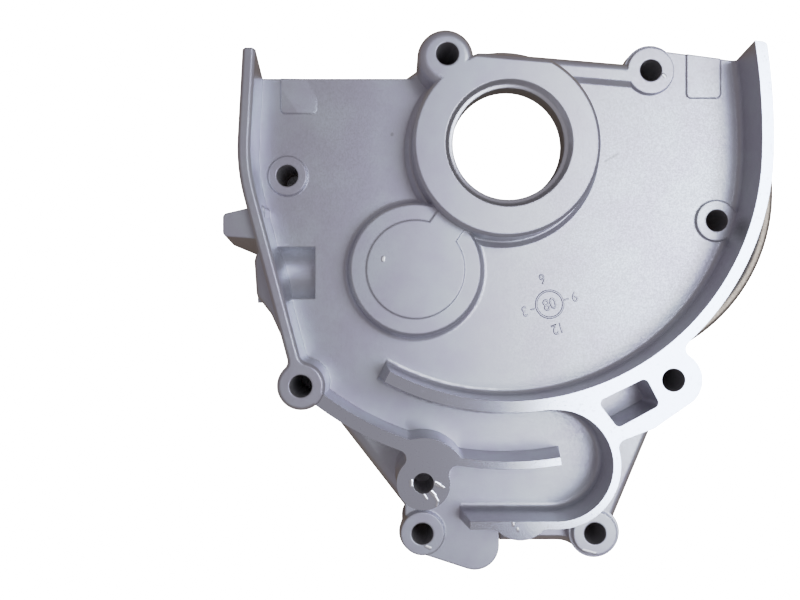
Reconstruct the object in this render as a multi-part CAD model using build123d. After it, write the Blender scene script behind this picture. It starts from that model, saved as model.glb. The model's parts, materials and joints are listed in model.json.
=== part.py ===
from build123d import *
import math
import os

# Gearbox cover of a small scooter engine: one aluminium die casting with machined faces.
# Millimetres. The layout's zero is the middle of the drive shaft hub, on the gasket face. The finished
# cover is moved so that its origin is the left bolt hole's axis on that face.
# +Z points away from the gearbox, towards the clutch side. +X is right and +Y is up on that side.

# Levels above the gasket face
PLATE_TOP = 24.0
PLATE_THICKNESS = 5.0
WALL_HEIGHT = 15.0
CAST_WALL_HEIGHT = 14.2
LEDGE_DROP = 11.5

# Drafts in degrees, and the radii that the casting mould leaves
WALL_DRAFT = 2.0
BODY_DRAFT = 4.0
RING_DRAFT = 12.0
STEP_DRAFT = 25.0
BODY_EDGE_RADIUS = 3.0
LEDGE_EDGE_RADIUS = 4.0
ROOT_RADIUS = 2.0
CORNER_RADIUS = 2.8
CROWN_CHAMFER = 0.9

# Clutch wall: one round wall that runs on to the left as a free ridge
WALL_CENTRE = (0.5, -2.0)
WALL_INNER_RADIUS = 82.7
WALL_THICKNESS = 3.8
WALL_FIRST_ANGLE = -2.0
RIDGE_END_ANGLE = -118.0
HORN_BEND_RADIUS = 200.0
HORN_BEND_ANGLE = 12.0
HORN_TIP_RADIUS = 1.6

# Noses of the free ridge ends, and the step outside the clutch wall
NOSE_LENGTH = 2.2
SKIRT_STEP = 4.1
SKIRT_DROP = 3.0

# Left wall, from its horn down to the lower left bolt
LEFT_WALL_THICKNESS = 4.2
LEFT_WALL_BEND_RADIUS = 60.0
LEFT_WALL_START = (-84.2, 38.0)
LEFT_WALL_BEND = (-86.7, -8.0)

# Upper edge of the plate, left and right of the hub, and how far the horns lean out over it
PLATE_EDGE_LEFT = 24.6
PLATE_EDGE_RIGHT = [(57.0, 33.9), (88.0, 29.7)]
LEFT_HORN_LEAN = 6.4
RIGHT_HORN_LEAN = 2.4

# Lower ridge, round the same centre as the clutch wall
LOWER_RIDGE_INNER_RADIUS = 100.7
LOWER_RIDGE_THICKNESS = 4.3
THIN_RIDGE_THICKNESS = 2.6
THIN_RIDGE_END_ANGLE = -80.5

# Return chamber below the clutch wall, and the straight leg that closes it from below
CHAMBER_CENTRE = (16.5, -105.8)
CHAMBER_RADIUS = 18.2
CHAMBER_WALL_THICKNESS = 2.6
LEG_END = -12.1
LEG_PAD_CENTRE = (4.3, -119.8)
LEG_PAD_RADIUS = 10.4

# Bridge between the clutch wall and the chamber wall, with a window down to the plate
WINDOW_CORNERS = [(29.6, -84.9), (45.3, -77.1), (49.9, -85.9), (36.1, -93.4)]
WINDOW_CORNER_RADIUS = 1.8
BRIDGE_FOOT = (48.0, -93.6)

# Bolts, clockwise: place, radius and height of the boss above the plate
BOLT_HOLE_DIAMETER = 7.5
BOLT_FOOT_RADIUS = 8.4
SMALL_FOOT_RADIUS = 7.0
CORNER_FOOT_RADIUS = 8.7
BOLTS = {
    "top_left": (-19.4, 29.2),
    "top_right": (51.1, 27.1),
    "right": (73.8, -24.4),
    "lower_right": (54.3, -77.8),
    "bottom_right": (31.8, -131.6),
    "bottom_left": (-27.3, -131.7),
    "lower_left": (-67.5, -79.9),
    "left": (-73.7, -9.0),
}
TOP_LEFT_BOSS_CENTRE = (-20.0, 28.4)
TOP_LEFT_BOSS_RADIUS = 9.3
TOP_LEFT_BOSS_HEIGHT = 13.5
TOP_LEFT_CROWN_RADIUS = 3.0
LOWER_RIGHT_BOSS_RADIUS = 9.4
LOWER_LEFT_BOSS_RADIUS = 7.9
RINGS = {
    "top_right": (7.9, 1.5),
    "right": (6.9, 1.2),
    "left": (6.7, 1.2),
    "bottom_right": (7.4, 2.0),
    "bottom_left": (7.4, 2.0),
}
TOP_RIGHT_FOOT_RADIUS = 8.9

# Tapped boss on the outer side of the lower ridge, for an M8 screw
TAP_ANGLE = -104.25
TAP_REACH = 8.0
TAP_BOSS_RADIUS = 8.8
TAP_SHOULDER_RADIUS = 14.8
TAP_DRILL_DIAMETER = 6.8
TAP_DRILL_DEPTH = 17.0
DRILL_POINT_ANGLE = 118.0
NECK_LEFT = -33.2

# Web that widens the foot of the bottom right bolt
CORNER_WEB_RADIUS = 9.0
CORNER_WEB_TOP = 20.0
CORNER_WEB_CHAMFER = 2.0

# Lobe at the bottom left
LOBE_CENTRE = (-9.3, -136.3)
LOBE_RADIUS = 8.4

# Drive shaft hub: oil seal seat from outside, bearing seat from inside
SHAFT_AXIS = (0.9, 0.0)
HUB_CENTRE = (0.1, 0.0)
HUB_RADIUS = 31.0
HUB_HEIGHT = 13.5
HUB_CROWN_CHAMFER = 1.0
HUB_FLAT_LEAN = 5.0
HUB_COLLAR_RADIUS = 33.6
HUB_COLLAR_HEIGHT = 1.8
HUB_COLLAR_SLOPE = 1.6
SEAL_SEAT_DIAMETER = 37.0
SEAL_SEAT_DEPTH = 9.5
SEAL_LEDGE_DIAMETER = 39.4
SEAL_LEDGE_DEPTH = 0.4
SEAL_MOUTH_DIAMETER = 42.0
SEAL_MOUTH_DEPTH = 1.8
SHAFT_BEARING_DIAMETER = 47.0
SHAFT_BEARING_WIDTH = 14.0
SHAFT_BOSS_WALL = 6.6

# Blind boss of the final shaft
FINAL_CENTRE = (-29.8, -41.4)
FINAL_BOSS_RADIUS = 22.4
FINAL_BOSS_HEIGHT = 8.0
FINAL_BOSS_DRAFT = 5.0
FINAL_CROWN_CHAMFER = 0.8
FINAL_ROOT_RADIUS = 1.8
FINAL_WEB_WIDTH = 10.7
FINAL_DISC_RADIUS = 16.4
FINAL_DISC_STEP = 0.5
FINAL_BEARING_DIAMETER = 35.0
FINAL_BEARING_WIDTH = 11.0
FINAL_CAP_THICKNESS = 5.0
FINAL_BOSS_WALL = 6.6

# Blind seat of the countershaft, on the inner side only
COUNTER_CENTRE = (26.5, -43.0)
COUNTER_BEARING_DIAMETER = 32.0
COUNTER_BEARING_WIDTH = 10.0
COUNTER_BOSS_WALL = 5.0
SEAT_SHOULDER = 6.4
SEAT_RELIEF = 1.5
RIB_THICKNESS = 3.5
RIB_LOW = 9.0

# Dowels round two of the bolts, on the gasket side
DOWEL_BOLTS = ("right", "lower_left")
DOWEL_DIAMETER = 10.2
DOWEL_DEPTH = 6.0

# Gasket flange: how far its edge stands outside the line between neighbouring bolts
FLANGE_REACH = {
    "top_left": 4.5,
    "top_right": 5.5,
    "right": 5.5,
    "lower_right": 6.3,
    "bottom_right": 5.4,
    "bottom_left": 1.9,
    "lower_left": 6.0,
    "left": 6.0,
}
FLANGE_WIDTH = 5.5
FLANGE_CORNER_RADIUS = 8.0
CAVITY_CORNER_RADIUS = 2.0
CAVITY_BOSS_RADIUS = 8.0

# Raised strip along the upper edge, and the two flat pads
CROWN_BAND_WIDTH = 8.2
CROWN_BAND_HEIGHT = 1.5
CROWN_BAND_RADIUS = 3.0
RIGHT_PAD_X = (63.8, 75.3)
RIGHT_PAD_LOW = 18.0
LEFT_PAD_CORNER = (-76.0, 12.7)
LEFT_PAD_WIDTH = 12.0
LEFT_PAD_LEAN = (0.05, 0.03)
PAD_CORNER_RADIUS = 1.5
PAD_STEP = 0.5

# Lug and shelf outside the left wall
LUG_HEIGHT = 9.5
LUG_FOOT = [(-94.0, -23.0), (-80.0, -19.2), (-80.0, -38.0), (-94.0, -32.2)]
LUG_HEAD = [(-94.0, -23.0), (-80.0, -19.7), (-80.0, -31.4), (-94.0, -30.4)]
LUG_CORNER_RADIUS = 1.6
SHELF_CORNERS = [(-82.0, -27.0), (-85.4, -38.0), (-84.6, -50.0), (-79.6, -56.5), (-72.5, -72.0),
                 (-68.0, -72.0), (-68.0, -27.0)]
SHELF_CORNER_RADIUS = 2.5
SHELF_EDGE_RADIUS = 2.2
SHELF_LOW = 6.0

# Trough beside the left wall, its floor a cylinder that lies along X
TROUGH_RIGHT = -64.3
TROUGH_CENTRE_Y = -42.3
TROUGH_RADIUS = 9.7
TROUGH_AXIS_Z = 27.7
TROUGH_SKIN = 3.5

MACHINED_TOP = PLATE_TOP + WALL_HEIGHT
CAST_TOP = PLATE_TOP + CAST_WALL_HEIGHT
PLATE_UNDERSIDE = PLATE_TOP - PLATE_THICKNESS
LEDGE_TOP = PLATE_TOP - LEDGE_DROP
HUB_TOP = PLATE_TOP + HUB_HEIGHT
SHAFT_BEARING_TOP = HUB_TOP - SEAL_SEAT_DEPTH
FINAL_BEARING_TOP = PLATE_TOP + FINAL_BOSS_HEIGHT - FINAL_CAP_THICKNESS
COUNTER_BEARING_TOP = PLATE_UNDERSIDE + 1.0
LOWER_RIDGE_OUTER_RADIUS = LOWER_RIDGE_INNER_RADIUS + LOWER_RIDGE_THICKNESS


def at_angle(centre, radius, angle):
    """Point at an angle on a circle."""
    turn = math.radians(angle)
    return (centre[0] + radius * math.cos(turn), centre[1] + radius * math.sin(turn))


def angle_of(centre, point):
    """Angle of a point seen from a centre, in degrees."""
    return math.degrees(math.atan2(point[1] - centre[1], point[0] - centre[0]))


def disc(centre, radius):
    """Flat disc."""
    return Pos(*centre) * Circle(radius)


def polygon(*points):
    """Flat face with straight sides."""
    return make_face(Polyline(*points, close=True))


def strip(line, width):
    """Flat strip of an even width along a line, with round ends."""
    return make_face(line.offset_2d(width / 2, kind=Kind.ARC, side=Side.BOTH))


def arc_strip(centre, inner_radius, thickness, start, end):
    """Flat strip along part of a circle, with round ends."""
    middle = CenterArc(centre, inner_radius + thickness / 2, start, end - start)
    return strip(Wire([middle.edge()]), thickness)


def soften(face, radius):
    """Round the inside corners of a flat shape, as a casting has them."""
    return offset(offset(face, radius), -radius)


def column(face, low, high, draft):
    """Solid between two levels from the shape of its top, growing downwards with the draft."""
    return extrude(Pos(0, 0, high) * face, high - low, dir=(0, 0, -1), taper=-draft)


def pit(face, low, high, draft):
    """Solid between two levels from the shape of its bottom, growing smaller upwards with the draft."""
    return extrude(Pos(0, 0, low) * face, high - low, dir=(0, 0, 1), taper=draft)


def slab(face, low, high):
    """Solid between two levels with upright sides."""
    return extrude(Pos(0, 0, low) * face, high - low, dir=(0, 0, 1))


def top_edges(shape):
    """Edges round the top face."""
    return shape.edges().group_by(Axis.Z)[-1]


def tap_centre():
    """Middle of the tapped boss."""
    return at_angle(WALL_CENTRE, LOWER_RIDGE_OUTER_RADIUS + TAP_REACH, TAP_ANGLE)


def clutch_wall_face():
    """Flat outline of the round clutch wall, from the nose of its free ridge to the tip of its horn."""
    radius = WALL_INNER_RADIUS + WALL_THICKNESS / 2
    start = RIDGE_END_ANGLE - math.degrees((NOSE_LENGTH + 1) / radius)
    round_part = CenterArc(WALL_CENTRE, radius, start, WALL_FIRST_ANGLE - start)
    horn = JernArc(round_part @ 1, round_part % 1, HORN_BEND_RADIUS, HORN_BEND_ANGLE)
    return strip(Wire([round_part.edge(), horn.edge()]), WALL_THICKNESS)


def lower_ridge_face():
    """Flat outline of the lower ridge, the tapped boss on it and the thin ridge that it ends in."""
    start = angle_of(WALL_CENTRE, BOLTS["lower_left"])
    thick = arc_strip(WALL_CENTRE, LOWER_RIDGE_INNER_RADIUS, LOWER_RIDGE_THICKNESS, start, TAP_ANGLE)
    end = THIN_RIDGE_END_ANGLE + math.degrees((NOSE_LENGTH + 1) / LOWER_RIDGE_OUTER_RADIUS)
    thin = arc_strip(WALL_CENTRE, LOWER_RIDGE_OUTER_RADIUS - THIN_RIDGE_THICKNESS, THIN_RIDGE_THICKNESS,
                     TAP_ANGLE, end)
    shoulder = disc(tap_centre(), TAP_SHOULDER_RADIUS) & disc(WALL_CENTRE, LOWER_RIDGE_OUTER_RADIUS)
    return thick + thin + shoulder + disc(tap_centre(), TAP_BOSS_RADIUS)


def chamber_space_face():
    """Inside of the return chamber, open to the left."""
    top = CHAMBER_CENTRE[1] + CHAMBER_RADIUS
    bottom = CHAMBER_CENTRE[1] - CHAMBER_RADIUS
    channel = polygon((LEG_END - 10, bottom), (CHAMBER_CENTRE[0], bottom), (CHAMBER_CENTRE[0], top),
                      (LEG_END - 10, top))
    return channel + disc(CHAMBER_CENTRE, CHAMBER_RADIUS)


def chamber_wall_face():
    """Outside of the return chamber, not yet hollow, with its leg and the leg's pad."""
    bottom = CHAMBER_CENTRE[1] - CHAMBER_RADIUS
    outer = disc(CHAMBER_CENTRE, CHAMBER_RADIUS + CHAMBER_WALL_THICKNESS)
    nose = LEG_END - NOSE_LENGTH - 1
    leg = polygon((nose, bottom), (CHAMBER_CENTRE[0], bottom),
                  (CHAMBER_CENTRE[0], bottom - CHAMBER_WALL_THICKNESS),
                  (nose, bottom - CHAMBER_WALL_THICKNESS))
    return outer + leg + disc(LEG_PAD_CENTRE, LEG_PAD_RADIUS)


def bridge_face():
    """Flat web between the clutch wall and the chamber, with the lower right bolt's boss."""
    bolt = BOLTS["lower_right"]
    web = polygon(CHAMBER_CENTRE, (CHAMBER_CENTRE[0], CHAMBER_CENTRE[1] + CHAMBER_RADIUS + 1),
                  at_angle(WALL_CENTRE, WALL_INNER_RADIUS + 1, angle_of(WALL_CENTRE, bolt) + 6),
                  at_angle(bolt, LOWER_RIGHT_BOSS_RADIUS, 0), at_angle(bolt, LOWER_RIGHT_BOSS_RADIUS, -62),
                  BRIDGE_FOOT)
    return web + disc(bolt, LOWER_RIGHT_BOSS_RADIUS)


def machined_wall_face():
    """All that the milled face at wall height shows, seen from above."""
    network = clutch_wall_face() + bridge_face() + chamber_wall_face()
    network -= disc(WALL_CENTRE, WALL_INNER_RADIUS)
    network -= chamber_space_face()
    network += lower_ridge_face() + clutch_wall_face()
    window = fillet(polygon(*WINDOW_CORNERS).vertices(), WINDOW_CORNER_RADIUS)
    return soften(network, CORNER_RADIUS) - window


def left_wall_face():
    """Flat outline of the left wall, with the lower left bolt's boss."""
    line = FilletPolyline(LEFT_WALL_START, LEFT_WALL_BEND, BOLTS["lower_left"], radius=LEFT_WALL_BEND_RADIUS)
    wall = strip(Wire(line.edges()), LEFT_WALL_THICKNESS)
    return soften(wall + disc(BOLTS["lower_left"], LOWER_LEFT_BOSS_RADIUS), 3.0)


def upper_edge_line():
    """Line of the plate's upper edge, from the hub collar to the top right bolt."""
    return (at_angle(HUB_CENTRE, HUB_COLLAR_RADIUS, 78),
            at_angle(BOLTS["top_right"], TOP_RIGHT_FOOT_RADIUS, 162))


def plate_face():
    """Plate between the walls. Its edge lies inside the walls wherever there is one."""
    right_edge = PLATE_EDGE_RIGHT
    boss = BOLTS["top_right"]
    start, end = [(x, y - CROWN_BAND_RADIUS - 0.5) for x, y in upper_edge_line()]
    below_edge = polygon((-100, PLATE_EDGE_LEFT), (0, PLATE_EDGE_LEFT), start, end, boss, right_edge[0],
                         right_edge[1], (88, -150), (-100, -150))
    clutch_floor = disc(WALL_CENTRE, WALL_INNER_RADIUS + 1)
    clutch_floor += polygon(LEFT_WALL_START, LEFT_WALL_BEND, BOLTS["lower_left"],
                            (0, -40), (0, 20), (-40, 38))
    clutch_floor += polygon((60, 0), (84.6, 0), (82.5, 36), (60, 36))
    clutch_floor = clutch_floor & below_edge
    clutch_floor += disc(HUB_CENTRE, HUB_COLLAR_RADIUS) + disc(boss, TOP_RIGHT_FOOT_RADIUS)
    return clutch_floor + channel_floor_face()


def channel_floor_face():
    """Floor of the channel and chamber below the clutch wall, with the lobe."""
    ridge_radius = LOWER_RIDGE_INNER_RADIUS + LOWER_RIDGE_THICKNESS / 2
    start = angle_of(WALL_CENTRE, BOLTS["lower_left"])
    sector = polygon(WALL_CENTRE, at_angle(WALL_CENTRE, 150, start), at_angle(WALL_CENTRE, 150, -105),
                     at_angle(WALL_CENTRE, 150, THIN_RIDGE_END_ANGLE + 5))
    channel = disc(WALL_CENTRE, ridge_radius) & sector
    leg_line = CHAMBER_CENTRE[1] - CHAMBER_RADIUS - CHAMBER_WALL_THICKNESS / 2
    bolt = BOLTS["bottom_left"]
    tap = tap_centre()
    passage = polygon((NECK_LEFT, tap[1]), (NECK_LEFT, bolt[1] + 6), bolt, (LOBE_CENTRE[0], leg_line - 2),
                      (CHAMBER_CENTRE[0], leg_line), (CHAMBER_CENTRE[0], tap[1] + 10), (tap[0], tap[1] + 10))
    lobe = polygon(bolt, at_angle(bolt, RINGS["bottom_left"][0], -95),
                   at_angle(LOBE_CENTRE, LOBE_RADIUS, -108), LOBE_CENTRE,
                   at_angle(LOBE_CENTRE, LOBE_RADIUS, 0), (LOBE_CENTRE[0] + LOBE_RADIUS, leg_line),
                   (bolt[0] + 8, leg_line + 2))
    lobe += disc(LOBE_CENTRE, LOBE_RADIUS) + disc(bolt, RINGS["bottom_left"][0] + 0.3)
    return channel + passage + disc(CHAMBER_CENTRE, CHAMBER_RADIUS + 1) + soften(lobe, 1.5)


def crossing(a, b, c, d):
    """Point where the lines a-b and c-d meet."""
    ax, ay = b[0] - a[0], b[1] - a[1]
    cx, cy = d[0] - c[0], d[1] - c[1]
    along = ((c[0] - a[0]) * cy - (c[1] - a[1]) * cx) / (ax * cy - ay * cx)
    return (a[0] + along * ax, a[1] + along * ay)


def flange_outline(inset):
    """Straight-sided outline of the gasket flange, moved inwards by the inset."""
    names = list(BOLTS)
    sides = []
    for place, name in enumerate(names):
        start, end = BOLTS[name], BOLTS[names[(place + 1) % len(names)]]
        run = math.dist(start, end)
        out = (start[1] - end[1]) / run, (end[0] - start[0]) / run
        reach = FLANGE_REACH[name] - inset
        sides.append([(x + out[0] * reach, y + out[1] * reach) for x, y in (start, end)])
    corners = [crossing(*sides[place - 1], *sides[place]) for place in range(len(sides))]
    outline = polygon(*reversed(corners))
    return fillet(outline.vertices(), FLANGE_CORNER_RADIUS)


def ledge_zones():
    """Areas outside the lower ridge and below the leg, where the body is lower than the plate."""
    left = polygon((-90, -80), (NECK_LEFT, -80), (NECK_LEFT, -150), (-90, -150))
    left -= disc(WALL_CENTRE, LOWER_RIDGE_OUTER_RADIUS + 0.5) + disc(tap_centre(), TAP_BOSS_RADIUS + 0.6)
    leg_line = CHAMBER_CENTRE[1] - CHAMBER_RADIUS - CHAMBER_WALL_THICKNESS - 0.6
    bolt = BOLTS["bottom_right"]
    right = polygon((LOBE_CENTRE[0], leg_line), (bolt[0] - 4, leg_line),
                    (bolt[0] - 4, -150), (LOBE_CENTRE[0], -150))
    right -= disc(LEG_PAD_CENTRE, LEG_PAD_RADIUS + 0.6) + disc(bolt, CORNER_FOOT_RADIUS)
    return [left, right]


def corner_web():
    """Hollowed web from the foot of the bottom right bolt to the lower side wall."""
    bolt = BOLTS["bottom_right"]
    side = bolt[1] - FLANGE_REACH["bottom_right"] + 1
    wall = polygon((0, side), (bolt[0], side), (bolt[0], side + 15), (0, side + 15))
    face = soften(wall + disc(bolt, CORNER_FOOT_RADIUS), CORNER_WEB_RADIUS)
    return chamfer(top_edges(slab(face, 0, CORNER_WEB_TOP)), CORNER_WEB_CHAMFER)


def body():
    """Side walls of the gearbox cover, solid as yet, from the gasket face up to the plate."""
    high = pit(flange_outline(0), 0, PLATE_TOP, BODY_DRAFT)
    high = fillet(top_edges(high), BODY_EDGE_RADIUS)
    for zone in ledge_zones():
        high -= slab(zone, -1, PLATE_TOP + 1)
    low = pit(flange_outline(0), 0, LEDGE_TOP, BODY_DRAFT)
    low = fillet(top_edges(low), LEDGE_EDGE_RADIUS) + high
    for name, place in BOLTS.items():
        radius = SMALL_FOOT_RADIUS if name == "bottom_left" else BOLT_FOOT_RADIUS
        low += slab(disc(place, radius), 0, PLATE_UNDERSIDE)
    low += slab(disc(BOLTS["bottom_right"], CORNER_FOOT_RADIUS), 0, PLATE_TOP)
    low += corner_web()
    return low + slab(disc(HUB_CENTRE, HUB_COLLAR_RADIUS - 1), 0, PLATE_UNDERSIDE)


def lean_cut(point, toward, foot, head, top, half_width, reach):
    """Tool that leans an end face. It starts at the foot at plate level and at the head at the top level."""
    profile = Plane(origin=(*point, 0), x_dir=(*toward, 0), z_dir=(toward[1], -toward[0], 0))
    side = polygon((foot, -1), (foot, PLATE_TOP), (head, top), (head, top + 5), (reach, top + 5), (reach, -1))
    return extrude(profile * side, half_width, both=True)


def machined_walls():
    """Walls and ridges with the milled tops, the free ends leaning back as noses."""
    walls = column(machined_wall_face(), PLATE_UNDERSIDE, MACHINED_TOP, WALL_DRAFT)
    turn = math.radians(RIDGE_END_ANGLE)
    middle = at_angle(WALL_CENTRE, WALL_INNER_RADIUS + WALL_THICKNESS / 2, RIDGE_END_ANGLE)
    outwards = (math.sin(turn), -math.cos(turn))
    walls -= lean_cut(middle, outwards, NOSE_LENGTH, 0, MACHINED_TOP, 5, NOSE_LENGTH + 4)
    turn = math.radians(THIN_RIDGE_END_ANGLE)
    thin = at_angle(WALL_CENTRE, LOWER_RIDGE_OUTER_RADIUS - THIN_RIDGE_THICKNESS / 2, THIN_RIDGE_END_ANGLE)
    outwards = (-math.sin(turn), math.cos(turn))
    walls -= lean_cut(thin, outwards, NOSE_LENGTH, 0, MACHINED_TOP, 5, NOSE_LENGTH + 4)
    leg = (LEG_END, CHAMBER_CENTRE[1] - CHAMBER_RADIUS - CHAMBER_WALL_THICKNESS / 2)
    walls -= lean_cut(leg, (-1, 0), NOSE_LENGTH, 0, MACHINED_TOP, 5, NOSE_LENGTH + 4)
    return walls - slab(disc(BOLTS["lower_left"], LOWER_LEFT_BOSS_RADIUS), CAST_TOP, MACHINED_TOP + 1)


def skirt():
    """Rounded step that stands out below the milled face, outside the clutch wall."""
    reach = WALL_INNER_RADIUS + WALL_THICKNESS / 2
    crest = ThreePointArc(at_angle(WALL_CENTRE, reach, -1), at_angle(WALL_CENTRE, reach + SKIRT_STEP, -17),
                          at_angle(WALL_CENTRE, reach + 0.6, -48))
    face = strip(Wire([crest.edge()]), WALL_THICKNESS - 0.4)
    solid = column(face, PLATE_UNDERSIDE, MACHINED_TOP - SKIRT_DROP, WALL_DRAFT)
    return chamfer(top_edges(solid), CROWN_CHAMFER)


def is_soft_root(edge):
    """Whether a wall's root is well rounded: inside the clutch wall and round the return chamber."""
    middle = tuple(edge @ 0.5)[:2]
    in_clutch_room = math.dist(middle, WALL_CENTRE) < WALL_INNER_RADIUS + 1
    return in_clutch_room or abs(math.dist(middle, CHAMBER_CENTRE) - CHAMBER_RADIUS) < 1


def root_edges(shape, level):
    """Edges at a level with material rising beside them."""
    found = []
    for edge in shape.edges().filter_by_position(Axis.Z, level - 0.01, level + 0.01):
        middle = edge.position_at(0.5)
        turns = [math.radians(45 * step + 20) for step in range(8)]
        around = [middle + Vector(0.3 * math.cos(a), 0.3 * math.sin(a), 0.3) for a in turns]
        if any(shape.is_inside(point) for point in around):
            found.append(edge)
    return ShapeList(found)


def floor_and_walls():
    """Plate with all its walls, the roots filleted, the horns cut to their leaning ends."""
    floor = slab(plate_face(), PLATE_UNDERSIDE, PLATE_TOP)
    left_wall = column(left_wall_face(), PLATE_UNDERSIDE, CAST_TOP, WALL_DRAFT)
    floor += chamfer(top_edges(left_wall), CROWN_CHAMFER)
    floor = floor + machined_walls() + skirt()
    roots = root_edges(floor, PLATE_TOP).filter_by(is_soft_root)
    floor = fillet(roots, ROOT_RADIUS)
    left = (LEFT_WALL_START[0], PLATE_EDGE_LEFT)
    floor -= lean_cut(left, (0, 1), 0, LEFT_HORN_LEAN, CAST_TOP, 14, 40)
    start, end = PLATE_EDGE_RIGHT
    slope = math.atan2(end[1] - start[1], end[0] - start[0])
    floor -= lean_cut(end, (-math.sin(slope), math.cos(slope)), 0, RIGHT_HORN_LEAN, MACHINED_TOP, 11, 40)
    tips = [edge for edge in floor.edges() if (edge @ 0.5).Y > 25 and (edge @ 0.5).X > 80
            and abs((edge @ 1).Z - (edge @ 0).Z) > 10]
    return fillet(max(tips, key=lambda edge: (edge @ 0.5).X), HORN_TIP_RADIUS)


def crown_band():
    """Raised strip along the upper edge, from the hub to the top right bolt, its rim well rounded."""
    start, end = upper_edge_line()
    run = math.dist(start, end)
    along = ((end[0] - start[0]) / run, (end[1] - start[1]) / run)
    plane = Plane(origin=(*start, 0), x_dir=(-along[1], along[0], 0), z_dir=(*along, 0))
    top = PLATE_TOP + CROWN_BAND_HEIGHT
    inner = -CROWN_BAND_WIDTH
    face = polygon((0, PLATE_UNDERSIDE), (0, top), (inner + 2, top), (inner, PLATE_TOP),
                   (inner, PLATE_UNDERSIDE))
    corners = face.vertices()
    rim = corners.filter_by_position(Axis.X, -0.1, 0.1).sort_by(Axis.Y)[-1]
    face = fillet(rim, CROWN_BAND_RADIUS)
    return extrude(plane * face, run + 4) + extrude(plane * face, -8)


def hub():
    """Drive shaft hub, leaning back along the upper edge, with the low sloping collar round its foot."""
    start, end = upper_edge_line()
    run = math.dist(start, end)
    outward = ((start[1] - end[1]) / run, (end[0] - start[0]) / run)
    top = column(disc(HUB_CENTRE, HUB_RADIUS), PLATE_UNDERSIDE, HUB_TOP, WALL_DRAFT)
    top -= lean_cut(start, outward, 0, -HUB_FLAT_LEAN, HUB_TOP, 2 * HUB_RADIUS, HUB_RADIUS)
    top = chamfer(top_edges(top), HUB_CROWN_CHAMFER)
    collar = slab(disc(HUB_CENTRE, HUB_COLLAR_RADIUS), PLATE_UNDERSIDE, PLATE_TOP + HUB_COLLAR_HEIGHT)
    return top + chamfer(top_edges(collar), HUB_COLLAR_SLOPE)


def final_boss():
    """Drafted round boss with a chamfered top edge, turned as one profile."""
    top = PLATE_TOP + FINAL_BOSS_HEIGHT
    crown = FINAL_CROWN_CHAMFER
    foot = FINAL_BOSS_RADIUS + (top - PLATE_UNDERSIDE) * math.tan(math.radians(FINAL_BOSS_DRAFT))
    shoulder = FINAL_BOSS_RADIUS + crown * math.tan(math.radians(FINAL_BOSS_DRAFT))
    profile = polygon((0, PLATE_UNDERSIDE), (foot, PLATE_UNDERSIDE), (shoulder, top - crown),
                      (FINAL_BOSS_RADIUS - crown, top), (0, top))
    return Pos(*FINAL_CENTRE) * revolve(Plane.XZ * profile, Axis.Z)


def final_disc():
    """Low step on the final shaft's boss: a disc with a web that runs to the hub."""
    web = strip(Wire([Line(FINAL_CENTRE, HUB_CENTRE).edge()]), FINAL_WEB_WIDTH)
    face = disc(FINAL_CENTRE, FINAL_DISC_RADIUS) + web
    return column(face, PLATE_TOP, PLATE_TOP + FINAL_BOSS_HEIGHT + FINAL_DISC_STEP, STEP_DRAFT)


def top_left_post():
    """Tall bolt boss beside the hub."""
    post = slab(disc(TOP_LEFT_BOSS_CENTRE, TOP_LEFT_BOSS_RADIUS), 0, PLATE_TOP + TOP_LEFT_BOSS_HEIGHT)
    return fillet(top_edges(post), TOP_LEFT_CROWN_RADIUS)


def lug():
    """Small lug that stands out from the left wall."""
    foot = fillet(polygon(*LUG_FOOT).vertices(), LUG_CORNER_RADIUS)
    head = fillet(polygon(*LUG_HEAD).vertices(), LUG_CORNER_RADIUS)
    return loft([Pos(0, 0, PLATE_UNDERSIDE) * foot, Pos(0, 0, PLATE_TOP + LUG_HEIGHT) * head])


def shelf():
    """Bulge at plate level outside the left wall, beside the trough."""
    face = fillet(polygon(*SHELF_CORNERS).vertices(), SHELF_CORNER_RADIUS)
    solid = column(face, SHELF_LOW, PLATE_TOP, BODY_DRAFT)
    return fillet(top_edges(solid), SHELF_EDGE_RADIUS)


def lying_cylinder(radius, left, right):
    """Cylinder along the trough's axis."""
    middle = ((left + right) / 2, TROUGH_CENTRE_Y, TROUGH_AXIS_Z)
    return Pos(*middle) * Rot(0, 90, 0) * Cylinder(radius, right - left)


def trough_shell():
    """Lying round shell that closes the trough on the gear side."""
    right = TROUGH_RIGHT + TROUGH_SKIN
    shell = lying_cylinder(TROUGH_RADIUS + TROUGH_SKIN, right - 24, right)
    return shell & (Pos(right, TROUGH_CENTRE_Y, PLATE_UNDERSIDE / 2) * Box(60, 60, PLATE_UNDERSIDE + 1))


def trough_space():
    """Hollow of the trough, on the clutch side of the left wall."""
    wall = column(left_wall_face(), 5, CAST_TOP + 1, WALL_DRAFT)
    space = lying_cylinder(TROUGH_RADIUS, -95, TROUGH_RIGHT) - wall
    return space.solids().sort_by(Axis.X)[-1]


def cavity():
    """Room for the gears, with the bolt bosses left standing in it."""
    face = flange_outline(FLANGE_WIDTH)
    for place in BOLTS.values():
        face -= disc(place, CAVITY_BOSS_RADIUS)
    face = offset(soften(face, 3.0), -CAVITY_CORNER_RADIUS)
    face = offset(face, CAVITY_CORNER_RADIUS)
    room = slab(face, 0, PLATE_UNDERSIDE)
    for zone in ledge_zones():
        room -= slab(offset(zone, PLATE_THICKNESS - 1), LEDGE_TOP - PLATE_THICKNESS, PLATE_TOP)
    return room


def rib(start, end):
    """Stiffening rib under the plate."""
    return slab(strip(Wire([Line(start, end).edge()]), RIB_THICKNESS), RIB_LOW, PLATE_UNDERSIDE + 0.5)


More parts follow.
